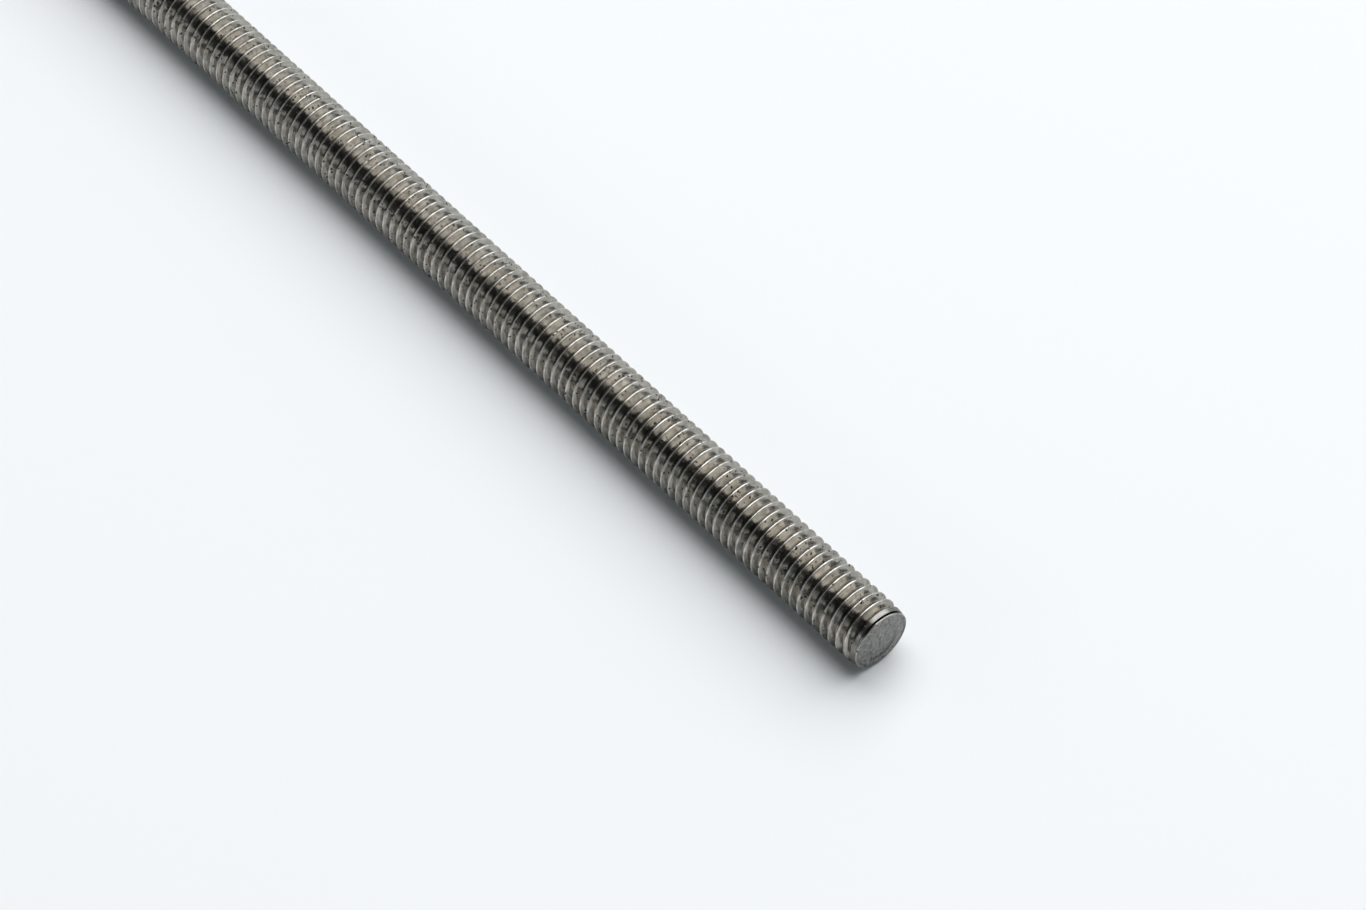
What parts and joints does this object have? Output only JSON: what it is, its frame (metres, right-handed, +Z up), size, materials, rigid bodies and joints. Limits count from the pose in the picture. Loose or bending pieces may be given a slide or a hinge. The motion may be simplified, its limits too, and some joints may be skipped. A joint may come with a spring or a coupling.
{
  "type": "threaded rod",
  "caption": "Straight steel rod with a right-hand metric thread along its whole length and lightly chamfered flat ends, for clamping, hanging or levelling with nuts.",
  "frame": {"origin": "middle of the rod, on its axis", "axes": "+X along the rod's axis, +Z up with the rod lying level"},
  "size_m": [0.25, 0.0078, 0.0078],
  "materials": {
    "rolled_steel": "bare rolled steel, semi-bright on the flanks, with dull sawn ends"
  },
  "bodies": {
    "root": {"threaded_rod": "rolled_steel"}
  },
  "joints": []
}
